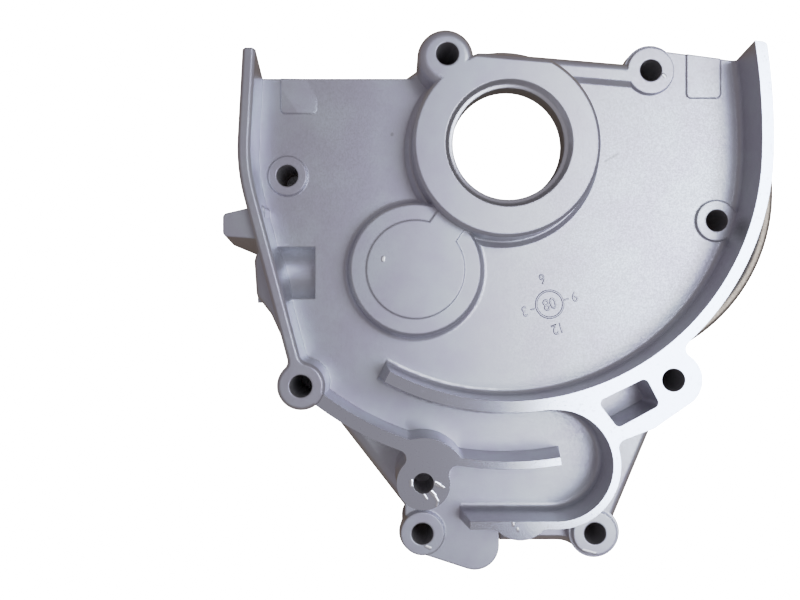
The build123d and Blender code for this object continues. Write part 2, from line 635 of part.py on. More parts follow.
def bearing_bosses():
    """Bearing bosses on the gear side: centre, outer radius and the level of the lower face of each."""
    return [
        (SHAFT_AXIS, SHAFT_BEARING_DIAMETER / 2 + SHAFT_BOSS_WALL, SHAFT_BEARING_TOP - SHAFT_BEARING_WIDTH),
        (FINAL_CENTRE, FINAL_BEARING_DIAMETER / 2 + FINAL_BOSS_WALL, FINAL_BEARING_TOP - FINAL_BEARING_WIDTH),
        (COUNTER_CENTRE, COUNTER_BEARING_DIAMETER / 2 + COUNTER_BOSS_WALL,
         COUNTER_BEARING_TOP - COUNTER_BEARING_WIDTH),
    ]


def inner_bosses():
    """Bearing bosses and ribs on the gear side. The bosses are faced, so no rib stands below one."""
    ribs = rib(SHAFT_AXIS, BOLTS["left"]) + rib(SHAFT_AXIS, BOLTS["right"])
    ribs = ribs + rib(SHAFT_AXIS, BOLTS["top_right"])
    ribs = ribs + rib(FINAL_CENTRE, BOLTS["lower_left"]) + rib(FINAL_CENTRE, BOLTS["bottom_left"])
    ribs = ribs + rib(COUNTER_CENTRE, BOLTS["lower_right"]) + rib(COUNTER_CENTRE, BOLTS["bottom_right"])
    for centre, radius, low in bearing_bosses():
        ribs -= slab(disc(centre, radius), RIB_LOW - 1, low)
    bosses = [slab(disc(centre, radius), low, PLATE_UNDERSIDE + 0.5)
              for centre, radius, low in bearing_bosses()]
    return [ribs] + bosses


def round_hole(centre, diameter, low, high):
    """Upright round space between two heights."""
    return slab(disc(centre, diameter / 2), low, high)


def blind_seat(centre, diameter, top):
    """Bearing seat that opens to the gear side, with a relief behind the bearing."""
    relief = diameter - 2 * SEAT_SHOULDER
    return round_hole(centre, diameter, -1, top) + round_hole(centre, relief, top - 1, top + SEAT_RELIEF)


def seal_mouth():
    """Mouth of the seal seat, turned as one profile: a steep slope down to a ledge that leads the seal in."""
    ledge = HUB_TOP - SEAL_MOUTH_DEPTH
    profile = polygon((0, HUB_TOP + 1), (SEAL_MOUTH_DIAMETER / 2, HUB_TOP + 1),
                      (SEAL_MOUTH_DIAMETER / 2, HUB_TOP), (SEAL_LEDGE_DIAMETER / 2, ledge),
                      (SEAL_SEAT_DIAMETER / 2, ledge - SEAL_LEDGE_DEPTH), (0, ledge - SEAL_LEDGE_DEPTH))
    return Pos(*SHAFT_AXIS) * revolve(Plane.XZ * profile, Axis.Z)


def seats_and_holes():
    """Everything that is drilled and bored."""
    tools = [
        round_hole(SHAFT_AXIS, SHAFT_BEARING_DIAMETER, -1, SHAFT_BEARING_TOP),
        round_hole(SHAFT_AXIS, SEAL_SEAT_DIAMETER, SHAFT_BEARING_TOP - 1, HUB_TOP + 1),
        seal_mouth(),
        blind_seat(FINAL_CENTRE, FINAL_BEARING_DIAMETER, FINAL_BEARING_TOP),
        blind_seat(COUNTER_CENTRE, COUNTER_BEARING_DIAMETER, COUNTER_BEARING_TOP),
    ]
    tools += [round_hole(place, BOLT_HOLE_DIAMETER, -1, MACHINED_TOP + 1) for place in BOLTS.values()]
    tools += [round_hole(BOLTS[name], DOWEL_DIAMETER, -1, DOWEL_DEPTH) for name in DOWEL_BOLTS]
    depth = MACHINED_TOP - TAP_DRILL_DEPTH
    tip = TAP_DRILL_DIAMETER / 2 / math.tan(math.radians(DRILL_POINT_ANGLE / 2))
    tools.append(round_hole(tap_centre(), TAP_DRILL_DIAMETER, depth, MACHINED_TOP + 1)
                 + Pos(*tap_centre(), depth - tip / 2) * Cone(0, TAP_DRILL_DIAMETER / 2, tip))
    return tools


def pad(left, right, low, high):
    """Low pad with sloping sides between four limits."""
    outline = polygon((left, low), (right, low), (right, high), (left, high))
    face = fillet(outline.vertices(), PAD_CORNER_RADIUS)
    return column(face, PLATE_UNDERSIDE, PLATE_TOP + PAD_STEP, STEP_DRAFT)


def right_pad():
    """Pad that runs out over the plate's upper edge."""
    left, right = RIGHT_PAD_X
    beyond_edge = PLATE_EDGE_RIGHT[0][1] + 6
    plate = slab(plate_face(), PLATE_UNDERSIDE, PLATE_TOP + PAD_STEP)
    return pad(left, right, RIGHT_PAD_LOW, beyond_edge) & plate


def left_pad():
    """Pad that leans, so that it stands out at its left and lower sides only."""
    x, y = LEFT_PAD_CORNER
    flat = pad(x, x + LEFT_PAD_WIDTH, y, PLATE_EDGE_LEFT + 4)
    middle = (x + LEFT_PAD_WIDTH / 2, (y + PLATE_EDGE_LEFT) / 2, PLATE_TOP + PAD_STEP * 0.6)
    leaning = extrude(Plane(origin=middle, z_dir=(*LEFT_PAD_LEAN, 1)) * Circle(30), -PLATE_THICKNESS)
    return flat & leaning & (Pos(x, PLATE_EDGE_LEFT - 20, PLATE_TOP) * Box(60, 40, 8))


def final_boss_root(shape):
    """Edge where the final shaft's boss meets the plate."""
    return ShapeList([edge for edge in root_edges(shape, PLATE_TOP)
                      if math.dist(tuple(edge @ 0.5)[:2], FINAL_CENTRE) < FINAL_BOSS_RADIUS + 2])


def cover():
    """The whole casting with its machined faces."""
    shape = floor_and_walls() + final_boss()
    shape = fillet(final_boss_root(shape), FINAL_ROOT_RADIUS)
    shape = shape + hub() + final_disc() + top_left_post() + crown_band()
    shape = shape + body() + lug() + shelf()
    for name, (radius, height) in RINGS.items():
        shape += column(disc(BOLTS[name], radius), PLATE_TOP - 1, PLATE_TOP + height, RING_DRAFT)
    shape = shape + right_pad() + left_pad()
    shape -= cavity()
    shape = shape + inner_bosses() + trough_shell()
    shape = shape - seats_and_holes() - trough_space()
    return Pos(-BOLTS["left"][0], -BOLTS["left"][1], 0) * shape


os.makedirs("parts", exist_ok=True)
export_step(cover(), "parts/cover_casting.step")
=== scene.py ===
"""Studio scene of a die-cast gearbox cover: blasted cast skin, milled faces, bored seats and small casting marks."""

import json
import logging
import math
from dataclasses import dataclass
from enum import Enum

import bmesh
import bpy
from mathutils import Matrix, Vector


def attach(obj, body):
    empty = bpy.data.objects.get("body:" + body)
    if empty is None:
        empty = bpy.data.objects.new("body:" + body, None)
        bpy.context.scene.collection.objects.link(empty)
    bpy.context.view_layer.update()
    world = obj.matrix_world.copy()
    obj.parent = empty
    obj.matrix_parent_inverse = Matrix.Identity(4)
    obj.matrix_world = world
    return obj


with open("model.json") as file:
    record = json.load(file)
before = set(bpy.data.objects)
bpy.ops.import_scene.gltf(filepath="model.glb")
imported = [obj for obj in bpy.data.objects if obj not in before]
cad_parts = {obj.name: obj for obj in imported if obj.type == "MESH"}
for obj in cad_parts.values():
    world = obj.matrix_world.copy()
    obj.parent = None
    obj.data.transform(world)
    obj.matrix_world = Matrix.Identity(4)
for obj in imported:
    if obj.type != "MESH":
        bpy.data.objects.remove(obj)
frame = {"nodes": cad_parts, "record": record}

LOG = logging.getLogger("gearbox_cover")
MM = 0.001
CASTING_NODE = "cover_casting"
BODY = "root"
NOISE_SPAN = (0.3, 0.7)

Colour = tuple[float, float, float]
Point = tuple[float, float, float]


class SocketKind(Enum):
    """Kinds of value that a shader node group takes in or gives out."""

    NUMBER = "NodeSocketFloat"
    VECTOR = "NodeSocketVector"


class Tone(Enum):
    """How a small mark differs from the metal round it; a glint mark is a raised burr chip or speck with a painted
    highlight.
    """

    DULL = "dull"
    GLINT = "bright"


@dataclass(frozen=True)
class CastFinish:
    """Skin that the mould and the shot blasting leave."""

    colour: Colour = (0.70, 0.72, 0.76)
    dark_colour: Colour = (0.65, 0.64, 0.71)
    mark_colour: Colour = (0.50, 0.50, 0.54)
    # Painted shade: brown that darkens the ledge outside the right wall.
    ledge_shade_colour: Colour = (0.34, 0.30, 0.26)
    roughness: float = 0.42
    roughness_spread: float = 0.05
    metallic: float = 0.85
    grain_mm: float = 0.55
    dimple_mm: float = 2.6
    grain_layers: float = 2.0
    grain_layer_strength: float = 0.6
    grain_share: float = 0.6
    cloud_mm: float = 17.0
    cloud_layers: float = 4.0
    cloud_layer_strength: float = 0.55
    grain_depth_mm: float = 0.0055
    edge_radius_mm: float = 0.75


@dataclass(frozen=True)
class MilledFinish:
    """Face that a cutter has cleaned."""

    colour: Colour = (0.83, 0.86, 0.93)
    pit_colour: Colour = (0.68, 0.69, 0.76)
    roughness: float = 0.16
    roughness_spread: float = 0.10
    line_pitch_mm: float = 0.35
    line_depth_mm: float = 0.0001
    line_shift_m: Point = (0.31, 0.12, 0.0)
    line_waver: float = 0.6
    line_layers: float = 2.0
    pit_mm: float = 0.9
    pit_layers: float = 3.0
    pit_layer_strength: float = 0.7
    pit_span: tuple[float, float] = (0.58, 0.72)
    edge_radius_mm: float = 0.15


@dataclass(frozen=True)
class TurnedFinish:
    """Smooth satin wall of the seal's mouth and of the bearing seats."""

    colour: Colour = (0.74, 0.74, 0.78)
    roughness: float = 0.34


@dataclass(frozen=True)
class BoredFinish:
    """Wall of a drilled hole, dark with cutting oil."""

    colour: Colour = (0.52, 0.51, 0.53)
    roughness: float = 0.60


@dataclass(frozen=True)
class SurfaceMark:
    """Short mark on the casting, such as a chip, a burr or a scratch; a glint mark's white colour is a painted
    highlight.
    """

    start_mm: Point
    end_mm: Point
    width_mm: float
    tone: Tone


# Glint marks are raised burr chips and specks whose white colour is a painted highlight.
CASTING_MARKS = (
    SurfaceMark((109.5, 5.2, 24.0), (113.7, 7.6, 24.0), 0.55, Tone.DULL),
    SurfaceMark((35.9, 14.3, 24.0), (36.0, 14.6, 24.0), 0.70, Tone.DULL),
    SurfaceMark((33.0, -29.3, 32.5), (33.1, -28.5, 32.5), 0.70, Tone.GLINT),
    SurfaceMark((50.1, -102.5, 39.0), (51.3, -103.1, 39.0), 0.95, Tone.GLINT),
    SurfaceMark((51.3, -103.1, 39.0), (52.8, -103.9, 39.0), 0.60, Tone.GLINT),
    SurfaceMark((48.7, -105.3, 39.0), (49.8, -106.4, 39.0), 0.90, Tone.GLINT),
    SurfaceMark((49.8, -106.4, 39.0), (50.9, -108.3, 39.0), 0.62, Tone.GLINT),
    SurfaceMark((50.9, -108.3, 39.0), (50.5, -111.0, 39.0), 0.48, Tone.GLINT),
    SurfaceMark((46.4, -106.2, 39.0), (47.3, -107.6, 39.0), 0.55, Tone.GLINT),
    SurfaceMark((42.3, -101.7, 39.0), (42.3, -103.3, 39.0), 0.75, Tone.GLINT),
    SurfaceMark((75.6, -115.6, 39.0), (75.7, -116.2, 39.0), 0.55, Tone.GLINT),
    SurfaceMark((77.0, -117.3, 39.0), (77.1, -117.8, 39.0), 0.50, Tone.GLINT),
    SurfaceMark((63.0, -114.6, 39.0), (63.4, -114.7, 39.0), 0.40, Tone.GLINT),
    SurfaceMark((70.9, -94.2, 39.0), (71.2, -94.5, 39.0), 0.45, Tone.GLINT),
    SurfaceMark((47.6, -127.0, 26.0), (49.0, -127.6, 26.0), 0.60, Tone.GLINT),
    SurfaceMark((129.0, 34.6, 25.5), (129.6, 34.0, 25.5), 0.70, Tone.GLINT),
    SurfaceMark((101.4, -128.2, 26.0), (105.6, -129.3, 26.0), 0.50, Tone.GLINT),
)


def mount(name: str) -> dict:
    """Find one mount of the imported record.

    Args:
        name: The mount's name.

    Returns:
        The mount, with its place in metres and its sizes.
    """
    return next(m for m in frame["record"]["mounts"] if m["name"] == name)


class ShaderGraph:
    """Small helper that adds nodes to one node tree and joins them."""

    def __init__(self, tree: bpy.types.NodeTree) -> None:
        """Keep the tree that the nodes go into.

        Args:
            tree: The node tree.
        """
        self.tree = tree

    def add(self, kind: str, **settings: object) -> bpy.types.Node:
        """Add a node.

        Args:
            kind: The node's type name.
            settings: Values for the node's own properties.

        Returns:
            The new node.
        """
        node = self.tree.nodes.new(kind)
        for name, value in settings.items():
            setattr(node, name, value)
        return node

    def feed(self, socket: bpy.types.NodeSocket, value: object) -> None:
        """Join a socket to another one, or set its value.

        Args:
            socket: The input to fill.
            value: An output socket, a number, a point or a colour.
        """
        if isinstance(value, bpy.types.NodeSocket):
            self.tree.links.new(value, socket)
        elif isinstance(value, tuple) and len(value) == 3 and socket.type == "RGBA":
            socket.default_value = (*value, 1.0)
        else:
            socket.default_value = value

    def math(self, operation: str, *values: object, clamp: bool = False) -> bpy.types.NodeSocket:
        """Work out one number.

        Args:
            operation: The Math node's operation.
            values: Its inputs, as sockets or numbers.
            clamp: Whether the result stays between 0 and 1.

        Returns:
            The result's socket.
        """
        node = self.add("ShaderNodeMath", operation=operation, use_clamp=clamp)
        for socket, value in zip(node.inputs, values):
            self.feed(socket, value)
        return node.outputs[0]

    def vector(self, operation: str, *values: object) -> bpy.types.Node:
        """Work out a vector, or a number from vectors.

        Args:
            operation: The Vector Math node's operation.
            values: Its vector inputs, as sockets or points.

        Returns:
            The node, whose outputs are Vector and Value.
        """
        node = self.add("ShaderNodeVectorMath", operation=operation)
        for socket, value in zip(node.inputs, values):
            self.feed(socket, value)
        return node

    def step(self, value: object, start: float, end: float, low: float = 0.0,
             high: float = 1.0) -> bpy.types.NodeSocket:
        """Turn a range of a value into a soft step.

        Args:
            value: The number that is mapped.
            start: Where the step begins.
            end: Where it ends.
            low: The result before the step.
            high: The result after it.

        Returns:
            The result's socket.
        """
        node = self.add("ShaderNodeMapRange", interpolation_type="SMOOTHSTEP")
        for name, part in (("Value", value), ("From Min", start), ("From Max", end), ("To Min", low),
                           ("To Max", high)):
            self.feed(node.inputs[name], part)
        return node.outputs["Result"]

    def mix(self, factor: object, first: object, second: object) -> bpy.types.NodeSocket:
        """Mix two colours.

        Args:
            factor: How much of the second one shows.
            first: The colour at factor 0.
            second: The colour at factor 1.

        Returns:
            The mixed colour's socket.
        """
        node = self.add("ShaderNodeMix", data_type="RGBA")
        for place, value in ((0, factor), (6, first), (7, second)):
            self.feed(node.inputs[place], value)
        return node.outputs[2]

    def blend(self, factor: object, first: object, second: object) -> bpy.types.NodeSocket:
        """Mix two numbers.

        Args:
            factor: How much of the second one counts.
            first: The number at factor 0.
            second: The number at factor 1.

        Returns:
            The mixed number's socket.
        """
        node = self.add("ShaderNodeMix", data_type="FLOAT")
        for place, value in ((0, factor), (2, first), (3, second)):
            self.feed(node.inputs[place], value)
        return node.outputs[0]

    def part(self, vector: object, axis: str) -> bpy.types.NodeSocket:
        """Take one part of a vector.

        Args:
            vector: The vector's socket.
            axis: X, Y or Z.

        Returns:
            The part's socket.
        """
        node = self.add("ShaderNodeSeparateXYZ")
        self.feed(node.inputs[0], vector)
        return node.outputs[axis]

    def facing_up(self) -> bpy.types.NodeSocket:
        """Tell how far the face looks up.

        Returns:
            A socket that is 1 on a level top and -1 on a level underside.
        """
        return self.part(self.add("ShaderNodeNewGeometry").outputs["True Normal"], "Z")

    def noise(self, vector: object, size_mm: float, detail: float, roughness: float = 0.5) -> bpy.types.NodeSocket:
        """Add a noise pattern in millimetres.

        Args:
            vector: The coordinates, in metres.
            size_mm: The size of one patch.
            detail: How many finer layers it has.
            roughness: How strong the finer layers are.

        Returns:
            The pattern's value, around 0.5.
        """
        node = self.add("ShaderNodeTexNoise")
        self.feed(node.inputs["Vector"], vector)
        self.feed(node.inputs["Scale"], 1.0 / (size_mm * MM))
        self.feed(node.inputs["Detail"], detail)
        self.feed(node.inputs["Roughness"], roughness)
        return node.outputs["Fac"]


class ShaderGroup:
    """A shader node group with named inputs and outputs."""

    def __init__(self, name: str, inputs: dict[str, SocketKind], outputs: dict[str, SocketKind]) -> None:
        """Make the empty group.

        Args:
            name: The group's name.
            inputs: Its inputs by name.
            outputs: Its outputs by name.
        """
        self.tree = bpy.data.node_groups.new(name, "ShaderNodeTree")
        for sockets, way in ((inputs, "INPUT"), (outputs, "OUTPUT")):
            for socket_name, kind in sockets.items():
                self.tree.interface.new_socket(socket_name, in_out=way, socket_type=kind.value)
        self.graph = ShaderGraph(self.tree)
        self.source = self.graph.add("NodeGroupInput")
        self.result = self.graph.add("NodeGroupOutput")

    def give(self, name: str, value: object) -> None:
        """Join a value to one of the group's outputs.

        Args:
            name: The output's name.
            value: A socket or a number.
        """
        self.graph.feed(self.result.inputs[name], value)

    def place(self, graph: ShaderGraph, **values: object) -> bpy.types.Node:
        """Put the group into another tree.

        Args:
            graph: The tree's helper.
            values: The group's inputs by name, with _ for a space.

        Returns:
            The group's node.
        """
        node = graph.add("ShaderNodeGroup", node_tree=self.tree)
        for name, value in values.items():
            graph.feed(node.inputs[name.replace("_", " ")], value)
        return node


class SurfaceEffects:
    """The shader groups that the finishes share, each built once."""

    soft_rim_mm: float = 0.05
    streak_core: float = 0.35

    def __init__(self) -> None:
        """Build the groups."""
        self.cast_skin = self._cast_skin()
        self.milled_lines = self._milled_lines()
        self.axis_zone = self._axis_zone()
        self.streak = self._streak()
        self.pits = self._pits()

    def _pits(self) -> ShaderGroup:
        """Fine pores that a cutter opens in die-cast metal.

        Returns:
            The group, whose output is 1 in a pore.
        """
        finish = MilledFinish()
        group = ShaderGroup("Pores", {"Vector": SocketKind.VECTOR}, {"Inside": SocketKind.NUMBER})
        graph, vector = group.graph, group.source.outputs["Vector"]
        grain = graph.noise(vector, finish.pit_mm, finish.pit_layers, finish.pit_layer_strength)
        group.give("Inside", graph.step(grain, *finish.pit_span))
        return group

    def _cast_skin(self) -> ShaderGroup:
        """Blasted skin: broad clouds, shallow dimples and a fine grain.

        Returns:
            The group, whose outputs are the clouds, the grain and the relief.
        """
        finish = CastFinish()
        group = ShaderGroup("Cast skin", {"Vector": SocketKind.VECTOR},
                            {"Cloud": SocketKind.NUMBER, "Grain": SocketKind.NUMBER, "Height": SocketKind.NUMBER})
        graph, vector = group.graph, group.source.outputs["Vector"]
        cloud = graph.noise(vector, finish.cloud_mm, finish.cloud_layers, finish.cloud_layer_strength)
        dimple = graph.noise(vector, finish.dimple_mm, finish.grain_layers)
        grain = graph.noise(vector, finish.grain_mm, finish.grain_layers, finish.grain_layer_strength)
        height = graph.math("ADD", graph.math("MULTIPLY", grain, finish.grain_share),
                            graph.math("MULTIPLY", dimple, 1.0 - finish.grain_share))
        group.give("Cloud", graph.step(cloud, *NOISE_SPAN))
        group.give("Grain", grain)
        group.give("Height", height)
        return group

    def _milled_lines(self) -> ShaderGroup:
        """Fine arcs that a large face cutter leaves, here nearly straight.

        Returns:
            The group, whose output rises and falls across the arcs.
        """
        finish = MilledFinish()
        group = ShaderGroup("Milled lines", {"Vector": SocketKind.VECTOR}, {"Line": SocketKind.NUMBER})
        graph = group.graph
        wave = graph.add("ShaderNodeTexWave", wave_type="RINGS", rings_direction="SPHERICAL")
        moved = graph.vector("ADD", group.source.outputs["Vector"], finish.line_shift_m)
        graph.feed(wave.inputs["Vector"], moved.outputs["Vector"])
        graph.feed(wave.inputs["Scale"], 1.0 / (finish.line_pitch_mm * MM * math.tau))
        graph.feed(wave.inputs["Distortion"], finish.line_waver)
        graph.feed(wave.inputs["Detail"], finish.line_layers)
        group.give("Line", wave.outputs["Fac"])
        return group

    def _axis_zone(self) -> ShaderGroup:
        """Round zone about an axis along Z, with a soft rim.

        Returns:
            The group, whose output is 1 within the radius.
        """
        group = ShaderGroup("Axis zone", {"Vector": SocketKind.VECTOR, "Centre": SocketKind.VECTOR,
                                          "Radius": SocketKind.NUMBER}, {"Inside": SocketKind.NUMBER})
        graph, source = group.graph, group.source
        away = graph.vector("SUBTRACT", source.outputs["Vector"], source.outputs["Centre"])
        flat = graph.vector("MULTIPLY", away.outputs["Vector"], (1.0, 1.0, 0.0))
        length = graph.vector("LENGTH", flat.outputs["Vector"]).outputs["Value"]
        beyond = graph.math("SUBTRACT", length, source.outputs["Radius"])
        group.give("Inside", graph.step(beyond, 0.0, self.soft_rim_mm * MM, 1.0, 0.0))
        return group

    def _streak(self) -> ShaderGroup:
        """Short streak between two points, as a chip or a scratch shows.

        Returns:
            The group, whose output is 1 on the streak.
        """
        group = ShaderGroup("Streak", {"Vector": SocketKind.VECTOR, "Start": SocketKind.VECTOR,
                                       "Along": SocketKind.VECTOR, "Width": SocketKind.NUMBER},
                            {"Inside": SocketKind.NUMBER})
        graph, source = group.graph, group.source
        away = graph.vector("SUBTRACT", source.outputs["Vector"], source.outputs["Start"]).outputs["Vector"]
        reach = graph.vector("DOT_PRODUCT", away, source.outputs["Along"]).outputs["Value"]
        whole = graph.vector("DOT_PRODUCT", source.outputs["Along"], source.outputs["Along"]).outputs["Value"]
        share = graph.math("DIVIDE", reach, whole, clamp=True)
        nearest = graph.add("ShaderNodeVectorMath", operation="SCALE")
        graph.feed(nearest.inputs["Vector"], source.outputs["Along"])
        graph.feed(nearest.inputs["Scale"], share)
        gap = graph.vector("SUBTRACT", away, nearest.outputs["Vector"]).outputs["Vector"]
        length = graph.vector("LENGTH", gap).outputs["Value"]
        ratio = graph.math("DIVIDE", length, source.outputs["Width"])
        group.give("Inside", graph.step(ratio, self.streak_core, 1.0, 1.0, 0.0))
        return group


@dataclass
class CoverMaterials:
    """The cover's materials, built from the finishes and the shared effects."""

    effects: SurfaceEffects
    cast: CastFinish = CastFinish()
    milled: MilledFinish = MilledFinish()
    turned: TurnedFinish = TurnedFinish()
    bored: BoredFinish = BoredFinish()
    marks: tuple[SurfaceMark, ...] = CASTING_MARKS
    mark_height_mm: float = 0.12
    mark_edge_share: float = 0.25
    glint_colour: Colour = (1.0, 1.0, 1.0)
    edge_samples: int = 4
    milled_level_mm: float = 39.0
    level_slack_mm: tuple[float, float] = (0.03, 0.06)
    level_facing: tuple[float, float] = (0.90, 0.97)
    edge_slack_mm: float = 0.1
    hole_slack_mm: float = 0.02
    mouth_radius_mm: float = 21.25
    mouth_low_mm: float = 28.0
    skirt_band_mm: tuple[float, float] = (34.0, 36.3)
    skirt_from_mm: float = 100.0
    skirt_fade_mm: float = 4.0
    skirt_facing: tuple[float, float] = (0.5, 0.8)
    seat_names: tuple[str, ...] = ("shaft_bearing_seat", "final_bearing_seat", "counter_bearing_seat")

    def _start(self, name: str) -> tuple[bpy.types.Material, ShaderGraph, bpy.types.Node, bpy.types.Node]:
        """Make a material with its shader and its coordinates.

        Args:
            name: The material's name.

        Returns:
            The material, its tree's helper, the shader and the coordinates node.
        """
        material = bpy.data.materials.new(name)
        material.use_nodes = True
        material.node_tree.nodes.clear()
        graph = ShaderGraph(material.node_tree)
        shader = graph.add("ShaderNodeBsdfPrincipled")
        output = graph.add("ShaderNodeOutputMaterial")
        graph.feed(output.inputs["Surface"], shader.outputs["BSDF"])
        return material, graph, shader, graph.add("ShaderNodeTexCoord")

    def _milled_mask(self, graph: ShaderGraph, vector: object) -> bpy.types.NodeSocket:
        """Where a face cutter has been: the wall tops and the gasket face.

        Args:
            graph: The material's helper.
            vector: The object coordinates.

        Returns:
            A mask, 1 on machined metal.
        """
        height, facing = graph.part(vector, "Z"), graph.facing_up()
        level = self.milled_level_mm * MM
        near, far = (slack * MM for slack in self.level_slack_mm)
        tilted, flat = self.level_facing
        top = graph.math("MULTIPLY", graph.step(height, level - far, level - near), graph.step(facing, tilted, flat))
        gasket = graph.math("MULTIPLY", graph.step(height, near, far, 1.0, 0.0),
                            graph.step(facing, -flat, -tilted, 1.0, 0.0))
        return graph.math("MAXIMUM", top, gasket)

    def _turned_mask(self, graph: ShaderGraph, vector: object) -> bpy.types.NodeSocket:
        """Walls that a boring bar has turned: the seal's mouth and the bearing seats.

        Args:
            graph: The material's helper.
            vector: The object coordinates.

        Returns:
            A mask, 1 on turned metal.
        """
        height = graph.part(vector, "Z")
        slack = self.edge_slack_mm
        mouth = self.effects.axis_zone.place(graph, Vector=vector, Centre=tuple(mount("shaft_seal_seat")["pos_m"]),
                                             Radius=self.mouth_radius_mm * MM)
        above = graph.step(height, self.mouth_low_mm * MM, (self.mouth_low_mm + slack) * MM)
        mask = graph.math("MULTIPLY", mouth.outputs["Inside"], above)
        for name in self.seat_names:
            seat = mount(name)
            zone = self.effects.axis_zone.place(graph, Vector=vector, Centre=tuple(seat["pos_m"]),
                                                Radius=(seat["dims"]["r_mm"] + slack) * MM)
            seat_top = seat["pos_m"][2] + seat["dims"]["length_mm"] / 2 * MM
            below = graph.step(height, seat_top, seat_top + slack * MM, 1.0, 0.0)
            mask = graph.math("MAXIMUM", mask, graph.math("MULTIPLY", zone.outputs["Inside"], below))
        return mask

    def _ledge_shade_mask(self, graph: ShaderGraph, vector: object) -> bpy.types.NodeSocket:
        """Where painted shade darkens the ledge outside the right wall.

        Args:
            graph: The material's helper.
            vector: The object coordinates.

        Returns:
            A mask, 1 on the ledge.
        """
        height, across = graph.part(vector, "Z"), graph.part(vector, "X")
        low, high = (value * MM for value in self.skirt_band_mm)
        slack = self.edge_slack_mm * MM
        band = graph.math("MULTIPLY", graph.step(height, low, low + slack),
                          graph.step(height, high, high + slack, 1.0, 0.0))
        right = graph.step(across, self.skirt_from_mm * MM, (self.skirt_from_mm + self.skirt_fade_mm) * MM)
        up = graph.step(graph.facing_up(), *self.skirt_facing)
        return graph.math("MULTIPLY", graph.math("MULTIPLY", band, right), up)

    def _hole_mask(self, graph: ShaderGraph, vector: object) -> bpy.types.NodeSocket:
        """Walls of the bolt holes and of the tapped hole.

        Args:
            graph: The material's helper.
            vector: The object coordinates.

        Returns:
            A mask, 1 in a drilled hole.
        """
        mask: object = 0.0
        for place in frame["record"]["mounts"]:
            if place["name"].startswith(("bolt_", "tapped_")):
                zone = self.effects.axis_zone.place(graph, Vector=vector, Centre=tuple(place["pos_m"]),
                                                    Radius=(place["dims"]["r_mm"] + self.hole_slack_mm) * MM)
                mask = graph.math("MAXIMUM", mask, zone.outputs["Inside"])
        return mask

    def _marks_mask(self, graph: ShaderGraph, vector: object, tone: Tone) -> bpy.types.NodeSocket:
        """Where the small marks of one tone lie.

        Args:
            graph: The material's helper.
            vector: The object coordinates.
            tone: The marks' tone.

        Returns:
            A mask, 1 on a mark.
        """
        mask: object = 0.0
        for mark in self.marks:
            if mark.tone is tone:
                start, end = Vector(mark.start_mm) * MM, Vector(mark.end_mm) * MM
                streak = self.effects.streak.place(graph, Vector=vector, Start=tuple(start),
                                                   Along=tuple(end - start), Width=mark.width_mm * MM)
                mask = graph.math("MAXIMUM", mask, streak.outputs["Inside"])
        return mask

    def raised_mark(self) -> bpy.types.Material:
        """Make the finish of the raised characters.

        Returns:
            Cast metal, duller than the plate round it.
        """
        material, graph, shader, coordinates = self._start("Raised characters, cast")
        vector = coordinates.outputs["Object"]
        skin = self.effects.cast_skin.place(graph, Vector=vector)
        graph.feed(shader.inputs["Base Color"],
                   graph.mix(skin.outputs["Cloud"], self.cast.mark_colour, self.cast.dark_colour))
        shader.inputs["Metallic"].default_value = self.cast.metallic
        shader.inputs["Roughness"].default_value = self.cast.roughness
        self._bump(graph, shader, graph.math("MULTIPLY", skin.outputs["Height"], self.cast.grain_depth_mm * MM),
                   self.cast.edge_radius_mm * self.mark_edge_share * MM)
        return material

    def _bump(self, graph: ShaderGraph, shader: bpy.types.Node, height: object, radius: object) -> None:
        """Give a shader its relief, with the piece's sharp edges slightly broken.

        Args:
            graph: The material's helper.
            shader: The shader that gets the normal.
            height: The relief's height in metres.
            radius: The radius of the edges.
        """
        rounded = graph.add("ShaderNodeBevel", samples=self.edge_samples)
        graph.feed(rounded.inputs["Radius"], radius)
        bump = graph.add("ShaderNodeBump")
        bump.inputs["Strength"].default_value = 1.0
        bump.inputs["Distance"].default_value = 1.0
        graph.feed(bump.inputs["Height"], height)
        graph.feed(bump.inputs["Normal"], rounded.outputs["Normal"])
        graph.feed(shader.inputs["Normal"], bump.outputs["Normal"])

    def casting(self) -> bpy.types.Material:
        """Make the cover's own material.

        Returns:
            A material that is cast, milled or drilled by place.
        """
        material, graph, shader, coordinates = self._start("Die-cast aluminium, part machined")
        vector = coordinates.outputs["Object"]
        skin = self.effects.cast_skin.place(graph, Vector=vector)
        lines = self.effects.milled_lines.place(graph, Vector=vector)
        milled = self._milled_mask(graph, vector)
        turned = self._turned_mask(graph, vector)
        holes = self._hole_mask(graph, vector)
        pores = self.effects.pits.place(graph, Vector=vector)
        dull = self._marks_mask(graph, vector, Tone.DULL)
        bright = self._marks_mask(graph, vector, Tone.GLINT)
        cast_colour = graph.mix(skin.outputs["Cloud"], self.cast.dark_colour, self.cast.colour)
        # Painted shade: the ledge outside the right wall is darkened to brown.
        cast_colour = graph.mix(self._ledge_shade_mask(graph, vector), cast_colour, self.cast.ledge_shade_colour)
        cut_colour = graph.mix(pores.outputs["Inside"], self.milled.colour, self.milled.pit_colour)
        colour = graph.mix(milled, cast_colour, cut_colour)
        colour = graph.mix(turned, colour, self.turned.colour)
        colour = graph.mix(dull, colour, self.cast.mark_colour)
        colour = graph.mix(holes, colour, self.bored.colour)
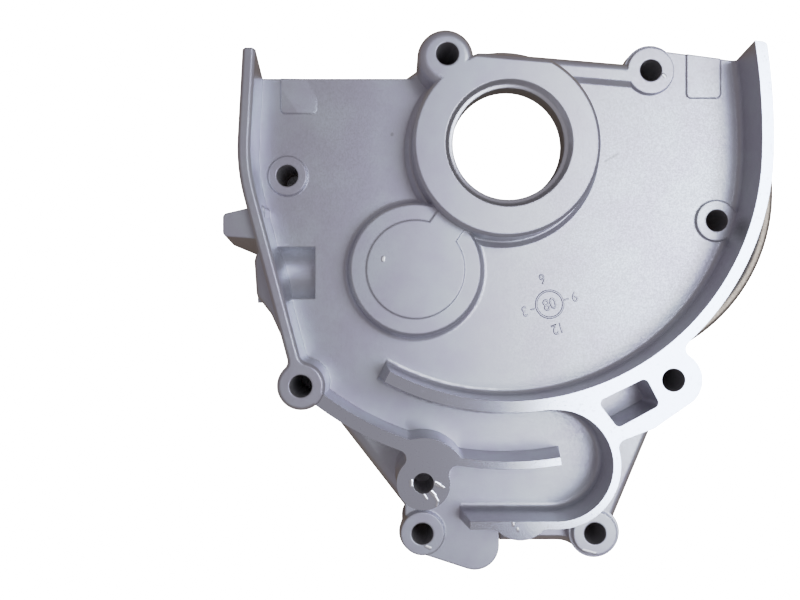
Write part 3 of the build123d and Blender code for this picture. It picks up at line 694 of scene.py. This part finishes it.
        # Painted highlight: the glint marks turn white.
        graph.feed(shader.inputs["Base Color"], graph.mix(bright, colour, self.glint_colour))
        cast_rough = graph.step(skin.outputs["Grain"], *NOISE_SPAN, self.cast.roughness - self.cast.roughness_spread,
                                self.cast.roughness + self.cast.roughness_spread)
        milled_rough = graph.step(pores.outputs["Inside"], 0.0, 1.0, self.milled.roughness,
                                  self.milled.roughness + self.milled.roughness_spread)
        rough = graph.blend(turned, graph.blend(milled, cast_rough, milled_rough), self.turned.roughness)
        graph.feed(shader.inputs["Roughness"], graph.blend(holes, rough, self.bored.roughness))
        shader.inputs["Metallic"].default_value = self.cast.metallic
        cast_height = graph.math("MULTIPLY", skin.outputs["Height"], self.cast.grain_depth_mm * MM)
        milled_height = graph.math("MULTIPLY", lines.outputs["Line"], self.milled.line_depth_mm * MM)
        height = graph.blend(milled, cast_height, milled_height)
        proud = graph.math("MULTIPLY", bright, self.mark_height_mm * MM)
        radius = graph.step(milled, 0.0, 1.0, self.cast.edge_radius_mm * MM, self.milled.edge_radius_mm * MM)
        self._bump(graph, shader, graph.math("ADD", height, proud), radius)
        return material


@dataclass
class CoverCasting:
    """The one-piece casting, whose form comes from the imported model."""

    materials: CoverMaterials

    def dress(self) -> bpy.types.Object:
        """Give the casting its material.

        Returns:
            The casting's object.
        """
        casting = frame["nodes"][CASTING_NODE]
        casting.data.materials.clear()
        casting.data.materials.append(self.materials.casting())
        return casting


@dataclass
class DateDial:
    """Calendar dial that the mould leaves on the plate: a ring, four clock numbers and a two-digit year."""

    finish: bpy.types.Material
    centre_mm: Point = (90.3, -44.1, 24.0)
    turn_deg: float = -163.6
    ring_radius_mm: float = 4.65
    line_mm: float = 0.85
    crown_share: float = 0.25
    rise_mm: float = 0.22
    number_reach_mm: float = 9.0
    number_height_mm: float = 3.7
    year_height_mm: float = 4.1
    number_width: float = 0.85
    stroke: tuple[float, float, float] = (0.02, 0.05, -0.03)
    stroke_steps: int = 4
    weld: float = 1e-4
    tick_mm: tuple[float, float] = (4.8, 6.9)
    tick_share: float = 0.6
    ticked: tuple[str, ...] = ("3", "9")
    ring_steps: int = 72
    numbers: tuple[tuple[str, float], ...] = (("12", 90.0), ("3", 0.0), ("6", -90.0), ("9", 180.0))
    year: str = "08"

    def build(self) -> bpy.types.Object:
        """Make the dial as one piece on the plate.

        Returns:
            The dial's object.
        """
        shape = bmesh.new()
        self._ring(shape)
        for text, angle in self.numbers:
            turn = math.radians(angle)
            self._number(shape, text, self.number_height_mm, Vector((math.cos(turn), math.sin(turn), 0.0)))
            if text in self.ticked:
                self._tick(shape, turn)
        self._number(shape, self.year, self.year_height_mm, Vector((0.0, 0.0, 0.0)))
        placed = (Matrix.Translation(Vector(self.centre_mm) * MM) @ Matrix.Rotation(math.radians(self.turn_deg), 4, "Z")
                  @ Matrix.Scale(MM, 4))
        bmesh.ops.transform(shape, matrix=placed, verts=shape.verts)
        bmesh.ops.recalc_face_normals(shape, faces=shape.faces)
        mesh = bpy.data.meshes.new("date_dial")
        shape.to_mesh(mesh)
        shape.free()
        mesh.materials.append(self.finish)
        dial = bpy.data.objects.new("date_dial", mesh)
        bpy.context.scene.collection.objects.link(dial)
        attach(dial, BODY)
        return dial

    def _ring(self, shape: bmesh.types.BMesh) -> None:
        """Turn the ring from its sloping section.

        Args:
            shape: The dial's mesh.
        """
        inner, outer = self.ring_radius_mm - self.line_mm / 2, self.ring_radius_mm + self.line_mm / 2
        crown = self.line_mm * self.crown_share
        points = ((inner, -self.rise_mm), (inner, 0.0), (inner + crown, self.rise_mm), (outer - crown, self.rise_mm),
                  (outer, 0.0), (outer, -self.rise_mm))
        corners = [shape.verts.new((across, 0.0, up)) for across, up in points]
        edges = [shape.edges.new((first, second)) for first, second in zip(corners, corners[1:] + corners[:1])]
        bmesh.ops.spin(shape, geom=corners + edges, cent=(0, 0, 0), axis=(0, 0, 1), angle=math.tau,
                       steps=self.ring_steps, use_merge=True)

    def _tick(self, shape: bmesh.types.BMesh, turn: float) -> None:
        """Lay a short line from the ring towards a number.

        Args:
            shape: The dial's mesh.
            turn: The line's direction in radians.
        """
        start, end = self.tick_mm
        size = Matrix.Diagonal((end - start, self.line_mm * self.tick_share, 2 * self.rise_mm, 1.0))
        place = Matrix.Rotation(turn, 4, "Z") @ Matrix.Translation(((start + end) / 2, 0, 0)) @ size
        made = bmesh.ops.create_cube(shape, size=1.0, matrix=place)
        edges = {edge for corner in made["verts"] for edge in corner.link_edges}
        bmesh.ops.bevel(shape, geom=list(edges), offset=self.rise_mm * self.tick_share, segments=1, profile=0.5,
                        affect="EDGES", material=-1)

    def _number(self, shape: bmesh.types.BMesh, text: str, height_mm: float, way: Vector) -> None:
        """Raise one number, its sides sloping as a mould needs.

        Args:
            shape: The dial's mesh.
            text: The number.
            height_mm: Its height.
            way: Its direction from the dial's centre.
        """
        curve = bpy.data.curves.new("number", "FONT")
        curve.body = text
        curve.align_x, curve.align_y = "CENTER", "CENTER"
        curve.extrude, curve.bevel_depth, curve.offset = self.stroke
        curve.resolution_u = self.stroke_steps
        flat = bpy.data.objects.new("number", curve)
        mesh = bpy.data.meshes.new_from_object(flat)
        bpy.data.objects.remove(flat)
        own = bmesh.new()
        own.from_mesh(mesh)
        bpy.data.meshes.remove(mesh)
        bmesh.ops.remove_doubles(own, verts=own.verts, dist=self.weld)
        low = Vector([min(v.co[i] for v in own.verts) for i in range(3)])
        high = Vector([max(v.co[i] for v in own.verts) for i in range(3)])
        scale = height_mm / (high.y - low.y)
        size = Matrix.Diagonal((scale * self.number_width, scale, 2 * self.rise_mm / (high.z - low.z), 1.0))
        place = Matrix.Translation(way * self.number_reach_mm) @ size @ Matrix.Translation(-(low + high) / 2)
        bmesh.ops.transform(own, matrix=place, verts=own.verts)
        made = bpy.data.meshes.new("number")
        own.to_mesh(made)
        own.free()
        shape.from_mesh(made)
        bpy.data.meshes.remove(made)


@dataclass
class Studio:
    """Pale floor, soft overhead light and the camera straight above."""

    effects: SurfaceEffects
    camera_place: Point = (0.0387, -0.04266, 0.304)
    lens_mm: float = 36.54
    sensor_mm: float = 36.0
    clip: tuple[float, float] = (0.01, 20.0)
    floor_size: float = 6.0
    floor_low: float = -0.0002
    floor_colour: Colour = (0.93, 0.93, 0.93)
    floor_glow: float = 3.6
    hole_shade_margin_mm: float = 2.5
    bench_colour: Colour = (0.42, 0.32, 0.23)
    key_place: Point = (0.62, 0.0, 0.95)
    key_size: tuple[float, float] = (0.76, 0.74)
    key_power: float = 5.4
    key_colour: Colour = (0.87, 0.93, 1.0)
    world_colour: Colour = (0.85, 0.80, 0.87)
    world_strength: float = 0.26
    backdrop_strength: float = 4.0
    film_white: float = 3.2
    film_curve: tuple[tuple[float, float], ...] = (
        (0.0, 0.0), (0.30, 0.31), (0.45, 0.47), (0.60, 0.575), (0.90, 0.68), (1.30, 0.78), (2.0, 0.89), (3.2, 1.0))

    def build(self) -> None:
        """Make the whole studio."""
        scene = bpy.context.scene
        self._film(scene)
        self._camera(scene)
        self._floor()
        self._light("Key light", self.key_place, self.key_size, self.key_power, self.key_colour)
        self._world(scene)

    def _film(self, scene: bpy.types.Scene) -> None:
        """Give the picture a camera's soft shoulder, so that bright metal keeps its tones.

        Args:
            scene: The scene that gets the curve.
        """
        view = scene.view_settings
        view.view_transform = "Standard"
        view.use_curve_mapping = True
        curves = view.curve_mapping
        curves.white_level = (self.film_white,) * 3
        curves.extend = "HORIZONTAL"
        # The fourth curve acts on red, green and blue alike.
        shared = curves.curves[3]
        for index, (light, tone) in enumerate(self.film_curve):
            place = (light / self.film_white, tone)
            if index == 0:
                shared.points[0].location = place
            elif index == len(self.film_curve) - 1:
                shared.points[-1].location = place
            else:
                shared.points.new(*place)
        curves.update()

    def _camera(self, scene: bpy.types.Scene) -> None:
        """Put the camera straight above the cover.

        Args:
            scene: The scene that gets the camera.
        """
        data = bpy.data.cameras.new("Camera")
        data.lens = self.lens_mm
        data.sensor_width = self.sensor_mm
        data.clip_start, data.clip_end = self.clip
        camera = bpy.data.objects.new("Camera", data)
        camera.location = self.camera_place
        scene.collection.objects.link(camera)
        scene.camera = camera

    def _floor(self) -> None:
        """Lay the pale floor, lit from below except for discs of painted shadow under the bolt holes. The metal
        reflects a dimmer bench.
        """
        mesh = bpy.data.meshes.new("Floor")
        shape = bmesh.new()
        bmesh.ops.create_grid(shape, x_segments=1, y_segments=1, size=self.floor_size / 2,
                              matrix=Matrix.Translation((0, 0, self.floor_low)))
        shape.to_mesh(mesh)
        shape.free()
        floor = bpy.data.objects.new("Floor", mesh)
        bpy.context.scene.collection.objects.link(floor)
        material = bpy.data.materials.new("Pale floor")
        material.use_nodes = True
        material.node_tree.nodes.clear()
        graph = ShaderGraph(material.node_tree)
        seen = graph.add("ShaderNodeBsdfDiffuse")
        seen.inputs["Color"].default_value = (*self.floor_colour, 1.0)
        hole_shade: object = 0.0
        vector = graph.add("ShaderNodeTexCoord").outputs["Object"]
        # Painted shadow: the floor's glow is cut off in a disc under each bolt hole.
        for hole in frame["record"]["mounts"]:
            if hole["name"].startswith("bolt_"):
                zone = self.effects.axis_zone.place(graph, Vector=vector, Centre=tuple(hole["pos_m"]),
                                                    Radius=(hole["dims"]["r_mm"] + self.hole_shade_margin_mm) * MM)
                hole_shade = graph.math("MAXIMUM", hole_shade, zone.outputs["Inside"])
        glow = graph.add("ShaderNodeEmission")
        graph.feed(glow.inputs["Strength"], graph.step(hole_shade, 0.0, 1.0, self.floor_glow, 0.0))
        lit = graph.add("ShaderNodeAddShader")
        graph.feed(lit.inputs[0], seen.outputs[0])
        graph.feed(lit.inputs[1], glow.outputs[0])
        bench = graph.add("ShaderNodeBsdfDiffuse")
        bench.inputs["Color"].default_value = (*self.bench_colour, 1.0)
        mixed = graph.add("ShaderNodeMixShader")
        graph.feed(mixed.inputs[0], graph.add("ShaderNodeLightPath").outputs["Is Camera Ray"])
        graph.feed(mixed.inputs[1], bench.outputs[0])
        graph.feed(mixed.inputs[2], lit.outputs[0])
        graph.feed(graph.add("ShaderNodeOutputMaterial").inputs["Surface"], mixed.outputs[0])
        mesh.materials.append(material)

    def _light(self, name: str, place: Point, size: tuple[float, float], power: float, colour: Colour) -> None:
        """Hang a soft box that looks straight down.

        Args:
            name: The light's name.
            place: Where it hangs.
            size: Its width and depth.
            power: Its power in watts.
            colour: Its colour.
        """
        data = bpy.data.lights.new(name, "AREA")
        data.shape = "RECTANGLE"
        data.size, data.size_y = size
        data.energy = power
        data.color = colour
        light = bpy.data.objects.new(name, data)
        light.location = place
        bpy.context.scene.collection.objects.link(light)

    def _world(self, scene: bpy.types.Scene) -> None:
        """Light the room softly. The camera sees the backdrop, and the metal a dimmer room.

        Args:
            scene: The scene that gets the world.
        """
        world = bpy.data.worlds.new("Room")
        world.use_nodes = True
        world.node_tree.nodes.clear()
        graph = ShaderGraph(world.node_tree)
        room = graph.add("ShaderNodeBackground")
        room.inputs["Color"].default_value = (*self.world_colour, 1.0)
        room.inputs["Strength"].default_value = self.world_strength
        seen = graph.add("ShaderNodeBackground")
        seen.inputs["Strength"].default_value = self.backdrop_strength
        mixed = graph.add("ShaderNodeMixShader")
        graph.feed(mixed.inputs[0], graph.add("ShaderNodeLightPath").outputs["Is Camera Ray"])
        graph.feed(mixed.inputs[1], room.outputs[0])
        graph.feed(mixed.inputs[2], seen.outputs[0])
        graph.feed(graph.add("ShaderNodeOutputWorld").inputs["Surface"], mixed.outputs[0])
        scene.world = world


def main() -> None:
    """Build the studio and dress the cover."""
    logging.basicConfig(level=logging.INFO, format="%(name)s: %(message)s")
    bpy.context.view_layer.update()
    effects = SurfaceEffects()
    Studio(effects).build()
    materials = CoverMaterials(effects)
    casting = CoverCasting(materials).dress()
    LOG.info("%s dressed, %d triangles", casting.name, len(casting.data.polygons))
    dial = DateDial(materials.raised_mark()).build()
    LOG.info("%s built, %d faces", dial.name, len(dial.data.polygons))


if __name__ == "__main__":
    main()
